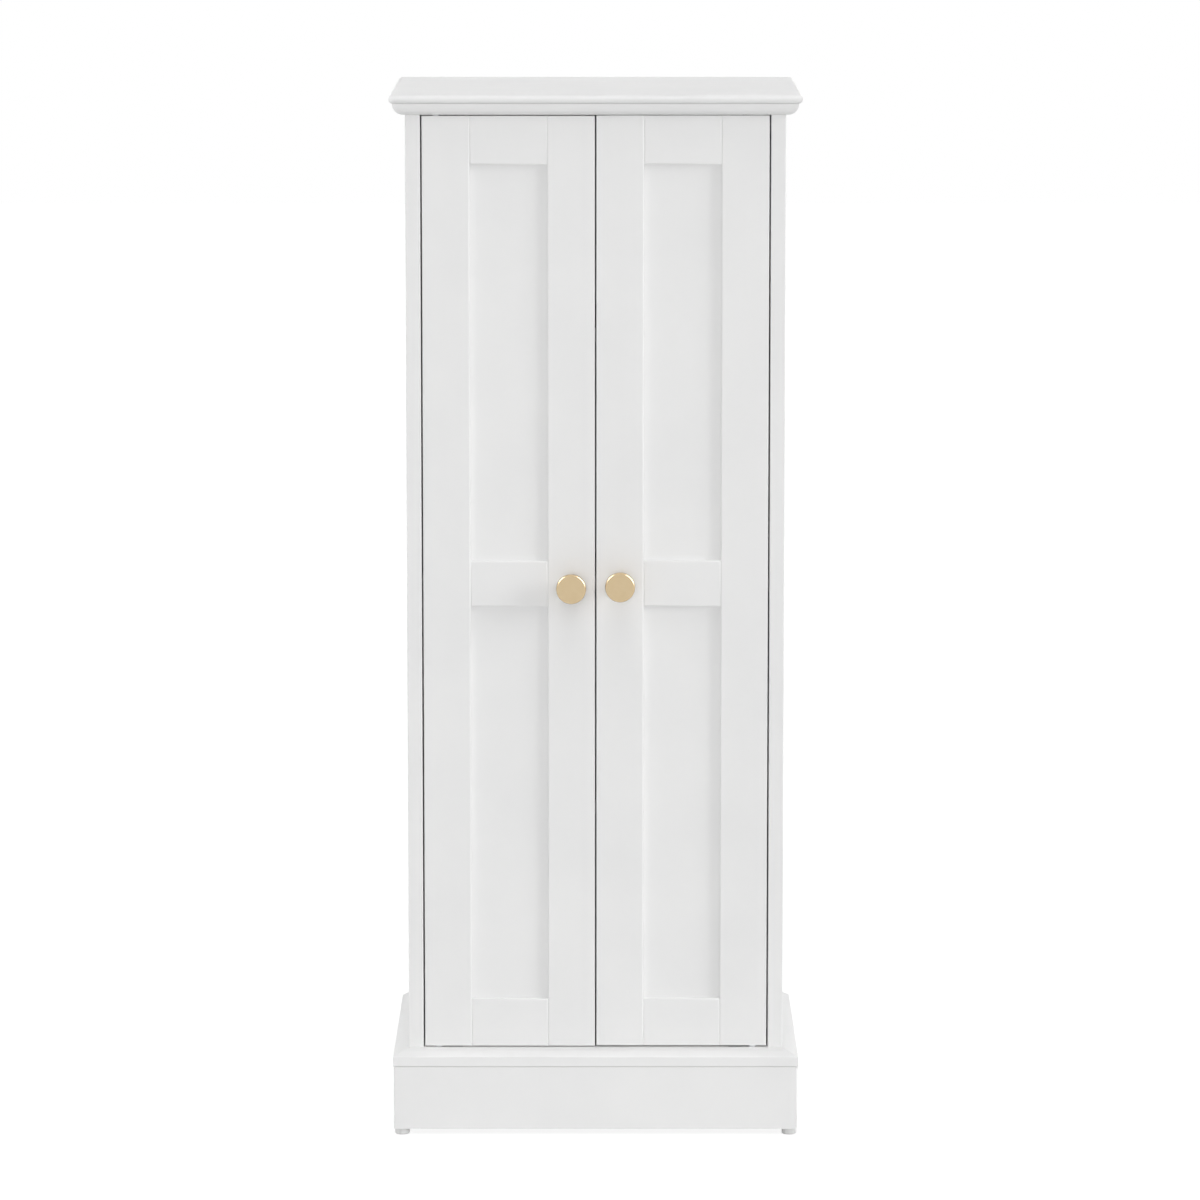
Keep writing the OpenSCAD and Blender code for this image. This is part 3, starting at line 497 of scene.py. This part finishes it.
def finish_piece(name, mesh_edit, body, material, replaced=()):
    """Turns a bmesh into a smooth-shaded piece that rides on its body."""
    for edge in mesh_edit.edges:
        edge.smooth = not (edge.is_manifold and edge.calc_face_angle(0.0) > CREASE)
    for face in mesh_edit.faces:
        face.smooth = True
    mesh = bpy.data.meshes.new(name)
    put_in_order(mesh_edit)
    mesh_edit.to_mesh(mesh)
    mesh_edit.free()
    mesh.materials.append(material)
    piece = bpy.data.objects.new(name, mesh)
    bpy.context.scene.collection.objects.link(piece)
    weighted = piece.modifiers.new("even_shading", "WEIGHTED_NORMAL")
    weighted.keep_sharp = True
    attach(piece, body)
    if replaced:
        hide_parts(*replaced)
    return piece


def merged_copy(node):
    """A bmesh of a node with its triangles merged and its planes joined."""
    copy = bmesh.new()
    copy.from_mesh(nodes[node].data)
    bmesh.ops.remove_doubles(copy, verts=copy.verts[:], dist=MERGE_GAP)
    bmesh.ops.dissolve_limit(
        copy, angle_limit=PLANAR, use_dissolve_boundaries=False,
        verts=copy.verts[:], edges=copy.edges[:], delimit=set(),
    )
    return copy


def soften(node, radius, longer_than, segments=2):
    """A merged copy of a node with its sharp edges rounded."""
    copy = merged_copy(node)
    sharp = [
        edge for edge in copy.edges
        if edge.is_manifold
        and edge.calc_face_angle(0.0) > SHARP
        and edge.calc_length() > longer_than
    ]
    bmesh.ops.bevel(
        copy, geom=sharp, offset=radius, offset_type="OFFSET", affect="EDGES",
        segments=segments, profile=0.5, material=-1, clamp_overlap=True,
    )
    return copy


def body_of_node(node):
    return nodes[node]["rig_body"]


DOOR_WOOD = [
    "outer_stile", "inner_stile", "top_rail", "middle_rail", "bottom_rail",
    "upper_panel", "lower_panel",
]
BOARDS = [
    "crown_board", "base_board", "left_side_panel", "right_side_panel",
    "rear_rail", "fixed_shelf", "upper_shelf", "lower_shelf", "plinth_front",
    "plinth_left", "plinth_right", "plinth_back",
] + [f"{side}_{part}" for side in ("left", "right") for part in DOOR_WOOD]

for node in BOARDS:
    piece = finish_piece(
        f"painted_{node}", soften(node, BOARD_ROUND, BOARD_EDGE), body_of_node(node),
        finishes["white_paint"], [node],
    )
    print(node, len(piece.data.polygons))

back = finish_piece(
    "painted_back_panel", soften("back_panel", BACK_ROUND, BOARD_EDGE),
    body_of_node("back_panel"), finishes["back_board"], ["back_panel"],
)
print("back_panel", len(back.data.polygons))

# %% [markdown]
# ## Softened hardware
#
# The small parts get the same treatment with smaller rounds: pressed steel
# has an edge of about a tenth of a millimetre, moulded nylon about four, and
# a sawn pine block that was rubbed once with sandpaper nearly one.

# %% Softened hardware
HARDWARE = {
    "cabinet_leaves": (0.12, "steel"),
    "left_door_leaves": (0.12, "steel"),
    "right_door_leaves": (0.12, "steel"),
    "pivot_washers": (0.10, "steel"),
    "upper_shelf_pins": (0.20, "steel"),
    "lower_shelf_pins": (0.20, "steel"),
    "glide_nails": (0.10, "steel"),
    "left_strike_plate": (0.12, "zinc"),
    "right_strike_plate": (0.12, "zinc"),
    "cam_discs": (0.10, "zinc"),
    "catch_housings": (0.40, "white_plastic"),
    "glides": (0.40, "white_plastic"),
    "plinth_blocks": (0.80, "raw_wood"),
}

for node, (radius, slot) in HARDWARE.items():
    piece = finish_piece(
        f"softened_{node}", soften(node, radius * MM, SMALL_EDGE), body_of_node(node),
        finishes[slot], [node],
    )
    print(node, len(piece.data.polygons))

magnets = finish_piece(
    "ground_magnets", soften("catch_magnets", MAGNET_ROUND, SMALL_EDGE),
    body_of_node("catch_magnets"), magnet_steel, ["catch_magnets"],
)
print("catch_magnets", len(magnets.data.polygons))

# %% [markdown]
# ## Screws with a cross recess
#
# The construction model's screws are plain, with flat heads. We model one
# screw from simple operators: a grid of nine squares loses its corners and
# becomes a cross, a circle becomes the rim, the two are bridged, the cross is
# pushed in and narrowed, and the rim is drawn down into cone, shank and tip.
# Then we read the place, direction and size of each plain screw from its own
# vertices and put a copy there.

# %% One screw
def cross_screw(head_r, cone_h, shank_r, length):
    """A screw pointing along -Z with the face of its head at z = 0."""
    screw = bmesh.new()
    drive = head_r * 0.56
    bmesh.ops.create_grid(screw, x_segments=3, y_segments=3, size=drive)
    corners = []
    for face in screw.faces:
        middle = face.calc_center_median()
        if min(abs(middle.x), abs(middle.y)) > drive / 3:
            corners.append(face)
    bmesh.ops.delete(screw, geom=corners, context="FACES")
    cross = screw.faces[:]
    arms = [edge for edge in screw.edges if edge.is_boundary]
    made = bmesh.ops.create_circle(screw, cap_ends=False, radius=head_r * 0.96, segments=32)
    ring = made["verts"]
    rim = [edge for edge in screw.edges if edge.verts[0] in ring and edge.verts[1] in ring]
    bmesh.ops.bridge_loops(screw, edges=arms + rim)
    sunk = bmesh.ops.extrude_face_region(screw, geom=cross)
    bmesh.ops.delete(screw, geom=cross, context="FACES")
    bottom = [part for part in sunk["geom"] if isinstance(part, bmesh.types.BMVert)]
    bmesh.ops.translate(screw, verts=bottom, vec=(0, 0, -head_r * 0.45))
    bmesh.ops.scale(screw, verts=bottom, vec=(0.6, 0.6, 1.0))
    under = shank_r * 0.9
    for drop, radius in (
        (head_r * 0.04, head_r), (cone_h, shank_r), (length - 2.5 * under, under),
        (length, under * 0.1),
    ):
        grown = bmesh.ops.extrude_edge_only(screw, edges=rim)["geom"]
        rim = [part for part in grown if isinstance(part, bmesh.types.BMEdge)]
        for vert in (part for part in grown if isinstance(part, bmesh.types.BMVert)):
            flat = Vector((vert.co.x, vert.co.y, 0.0)).normalized() * radius
            vert.co = (flat.x, flat.y, -drop)
    bmesh.ops.holes_fill(screw, edges=rim, sides=0)
    bmesh.ops.recalc_face_normals(screw, faces=screw.faces[:])
    return screw


# %% [markdown]
# A node holds several screws in one mesh. We walk from vertex to vertex along
# the edges to tell them apart. A screw lies along the axis in which it is
# longest, and its head is at the end with the wider ring.

# %% All the screws
def solids_of(mesh_edit):
    """Lists of the vertex positions of each separate solid."""
    seen = set()
    for start in mesh_edit.verts:
        if start in seen:
            continue
        seen.add(start)
        reached = [start]
        for vert in reached:
            for edge in vert.link_edges:
                other = edge.other_vert(vert)
                if other not in seen:
                    seen.add(other)
                    reached.append(other)
        yield [vert.co.copy() for vert in reached]


def measure_screw(points):
    """Head centre, direction, head radius, shank radius and length."""
    low = Vector([min(p[i] for p in points) for i in range(3)])
    high = Vector([max(p[i] for p in points) for i in range(3)])
    along = max(range(3), key=lambda i: (high - low)[i])
    middle = (low + high) / 2

    def radius_at(level):
        ring = [p for p in points if abs(p[along] - level) < 0.01 * MM]
        return max(
            math.hypot(*[p[i] - middle[i] for i in range(3) if i != along]) for p in ring
        )

    wide_low = radius_at(low[along]) > radius_at(high[along])
    head_end, tip_end = (low, high) if wide_low else (high, low)
    head, tip = middle.copy(), middle.copy()
    head[along], tip[along] = head_end[along], tip_end[along]
    return head, tip - head, radius_at(head[along]), radius_at(tip[along])


def place_screws(node):
    """Cross-recessed screws in the places of a node's plain ones."""
    plain = merged_copy(node)
    placed = bmesh.new()
    for points in solids_of(plain):
        head, reach, head_r, shank_r = measure_screw(points)
        screw = cross_screw(head_r, head_r - shank_r, shank_r, reach.length)
        turn = Vector((0, 0, -1)).rotation_difference(reach.normalized())
        place = Matrix.Translation(head) @ turn.to_matrix().to_4x4()
        bmesh.ops.transform(screw, matrix=place, verts=screw.verts[:])
        single = bpy.data.meshes.new("single_screw")
        screw.to_mesh(single)
        placed.from_mesh(single)
        bpy.data.meshes.remove(single)
        screw.free()
    plain.free()
    return placed


SCREW_NODES = [
    "cabinet_leaf_screws", "catch_screws", "back_screws", "plinth_screws",
    "left_leaf_screws", "right_leaf_screws", "left_strike_screw", "right_strike_screw",
    "left_knob_screw", "right_knob_screw",
]
for node in SCREW_NODES:
    piece = finish_piece(
        f"cross_{node}", place_screws(node), body_of_node(node),
        finishes["steel"], [node],
    )
    print(node, len(piece.data.polygons))

# %% [markdown]
# ## Materials for the nodes that keep their shape
#
# The bolts and dowels inside the joints are right as they are. They only need
# their finishes.

# %% Materials for the nodes that keep their shape
def paint_node(node, material):
    slots = nodes[node].data.materials
    slots.clear()
    slots.append(material)


paint_node("cam_bolts", finishes["steel"])
paint_node("dowels", beech)
print("kept their shape: cam_bolts, dowels")

# %% [markdown]
# ## The knobs
#
# Each knob is turned from one piece: a flared foot, a slim neck and a thick
# disc whose rim is rounded on both sides. A lathe does this by turning a
# profile about a line, and so does spin. We draw half the profile with a pen
# that extrudes its last vertex for straight runs and spins it for arcs.

# %% The knobs
def draw_to(mesh_edit, last, point):
    """Extrudes the last vertex of a profile to a new point."""
    grown = bmesh.ops.extrude_vert_indiv(mesh_edit, verts=[last])["verts"][0]
    grown.co = point
    return grown


def draw_arc(mesh_edit, last, centre, axis, angle, steps):
    """Spins the last vertex of a profile round centre."""
    made = bmesh.ops.spin(
        mesh_edit, geom=[last], cent=centre, axis=axis,
        angle=math.radians(angle), steps=steps,
    )
    return [part for part in made["geom_last"] if isinstance(part, bmesh.types.BMVert)][0]


KNOB_RIM = 2.0 * MM
KNOB_EDGE = 0.35 * MM
NECK_COVE = 1.0 * MM
HEAD_THICK = 7.0 * MM
FOOT_R = 8.5 * MM
FOOT_T = 3.0 * MM
NECK_R = 6.0 * MM


def turned_knob(radius, reach):
    """A knob on the line x = z = 0, its foot at y = 0 and its face at -reach."""
    lathe = bmesh.new()
    flat = (0.0, 0.0, 1.0)
    cove = FOOT_R - NECK_R
    back = -(reach - HEAD_THICK)
    pen = lathe.verts.new((FOOT_R - KNOB_EDGE, 0.0, 0.0))
    pen = draw_arc(lathe, pen, (FOOT_R - KNOB_EDGE, -KNOB_EDGE, 0), flat, -90, 4)
    pen = draw_to(lathe, pen, (FOOT_R, -FOOT_T, 0.0))
    pen = draw_arc(lathe, pen, (FOOT_R, -FOOT_T - cove, 0), flat, 90, 12)
    pen = draw_to(lathe, pen, (NECK_R, back + NECK_COVE, 0.0))
    pen = draw_arc(lathe, pen, (NECK_R + NECK_COVE, back + NECK_COVE, 0), flat, 90, 6)
    pen = draw_to(lathe, pen, (radius - KNOB_RIM, back, 0.0))
    pen = draw_arc(lathe, pen, (radius - KNOB_RIM, back - KNOB_RIM, 0), flat, -90, 12)
    pen = draw_to(lathe, pen, (radius, -reach + KNOB_RIM, 0.0))
    pen = draw_arc(lathe, pen, (radius - KNOB_RIM, -reach + KNOB_RIM, 0), flat, -90, 16)
    for share in (0.75, 0.4):
        pen = draw_to(lathe, pen, ((radius - KNOB_RIM) * share, -reach, 0.0))
    draw_to(lathe, pen, (0.0, -reach, 0.0))
    bmesh.ops.spin(
        lathe, geom=lathe.verts[:] + lathe.edges[:], cent=(0, 0, 0), axis=(0, 1, 0),
        angle=2 * math.pi, steps=96, use_merge=True,
    )
    bmesh.ops.remove_doubles(lathe, verts=lathe.verts[:], dist=MERGE_GAP)
    bmesh.ops.holes_fill(lathe, edges=[e for e in lathe.edges if e.is_boundary], sides=0)
    bmesh.ops.recalc_face_normals(lathe, faces=lathe.faces[:])
    return lathe


for side in ("left", "right"):
    node = f"{side}_knob"
    low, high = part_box(node)
    knob_at = Vector(((low.x + high.x) / 2, high.y, (low.z + high.z) / 2))
    knob = turned_knob((high.x - low.x) / 2, high.y - low.y)
    bmesh.ops.translate(knob, verts=knob.verts[:], vec=knob_at)
    piece = finish_piece(
        f"turned_{node}", knob, body_of_node(node),
        turned_brass(f"champagne_brass_{side}", knob_at), [node],
    )
    print(node, "faces", len(piece.data.polygons), "at", [round(c, 4) for c in knob_at])

# %% [markdown]
# ## The floor
#
# The cabinet stands on white paper. The paper is a real surface that takes
# the soft shadow under the glides, mixed with a plain glow that only the
# camera and reflections see, so the open paper is the same white as the
# walls.

# %% The floor
FLOOR_HALF = 12.0
FLOOR_GLOW = 0.70
GLOW_STRENGTH = 1.25
PAPER_WHITE = (0.78, 0.78, 0.78)
PAPER_SHADE = (0.76, 0.76, 0.76)

paper, tree, shader = start_material("white_paper", Roughness=0.9)
shader.inputs["Specular IOR Level"].default_value = 0.1
mottle = noise(tree, place_of(tree), 3.0, detail=5.0)
colour = ramp(tree, mottle, PAPER_SHADE, PAPER_WHITE)
tree.links.new(colour, shader.inputs["Base Color"])
tooth = bump(tree, noise(tree, place_of(tree), 900.0), 0.00002)
tree.links.new(tooth, shader.inputs["Normal"])
glow = tree.nodes.new("ShaderNodeEmission")
glow.inputs["Color"].default_value = WHITE
glow.inputs["Strength"].default_value = GLOW_STRENGTH
share = tree.nodes.new("ShaderNodeMath")
share.operation = "MULTIPLY"
share.inputs[1].default_value = FLOOR_GLOW
tree.links.new(seen_directly(tree), share.inputs[0])
mix = tree.nodes.new("ShaderNodeMixShader")
tree.links.new(share.outputs[0], mix.inputs["Fac"])
tree.links.new(shader.outputs["BSDF"], mix.inputs[1])
tree.links.new(glow.outputs["Emission"], mix.inputs[2])
tree.links.new(mix.outputs["Shader"], tree.nodes["Material Output"].inputs["Surface"])

sheet_edit = bmesh.new()
bmesh.ops.create_grid(sheet_edit, x_segments=4, y_segments=4, size=FLOOR_HALF)
sheet_mesh = bpy.data.meshes.new("paper_floor")
sheet_edit.to_mesh(sheet_mesh)
sheet_edit.free()
sheet_mesh.materials.append(paper)
floor = bpy.data.objects.new("paper_floor", sheet_mesh)
bpy.context.scene.collection.objects.link(floor)
print("paper", 2 * FLOOR_HALF, "m wide")
